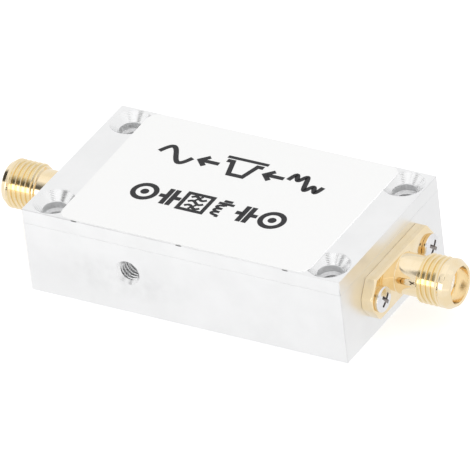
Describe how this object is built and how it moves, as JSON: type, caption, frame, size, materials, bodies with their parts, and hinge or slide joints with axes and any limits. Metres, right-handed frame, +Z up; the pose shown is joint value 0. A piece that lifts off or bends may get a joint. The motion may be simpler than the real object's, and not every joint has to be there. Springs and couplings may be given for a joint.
{
  "type": "rf bandpass filter",
  "caption": "Coaxial band-pass filter: a milled aluminium box with a flat countersunk lid and a threaded gold-plated socket connector on each end.",
  "frame": {"origin": "centre of the underside of the box, which is also the bottom centre of the whole object", "axes": "+X runs along the box from the left connector to the right one, +Y points from the long wall with the tapped hole to the other long wall, +Z points up through the lid"},
  "size_m": [0.064, 0.025, 0.0121],
  "materials": {
    "case": "satin milled",
    "cover": "satin milled",
    "label": "smooth white film",
    "plating": "polished gold plating",
    "insulator": "smooth white",
    "screws": "bright nickel plating",
    "board": "semi-gloss",
    "copper": "bright",
    "solder": "bright",
    "wire": "silvered",
    "chips": "smooth"
  },
  "bodies": {
    "root": {"body": "case", "lid": "cover", "label": "label", "connector_shell_right": "plating", "insulator_right": "insulator", "contact_right": "plating", "flange_screws_right": "screws", "connector_shell_left": "plating", "insulator_left": "insulator", "contact_left": "plating", "flange_screws_left": "screws", "filter_board": "board", "board_tracks": "copper", "board_screws": "screws", "solder_joints": "solder", "resonator_coil_1": "wire", "resonator_coil_2": "wire", "resonator_coil_3": "wire", "resonator_capacitor_1": "chips", "resonator_capacitor_2": "chips", "resonator_capacitor_3": "chips", "coupling_capacitor_1": "chips", "coupling_capacitor_2": "chips", "coupling_capacitor_3": "chips", "coupling_capacitor_4": "chips"}
  },
  "joints": []
}
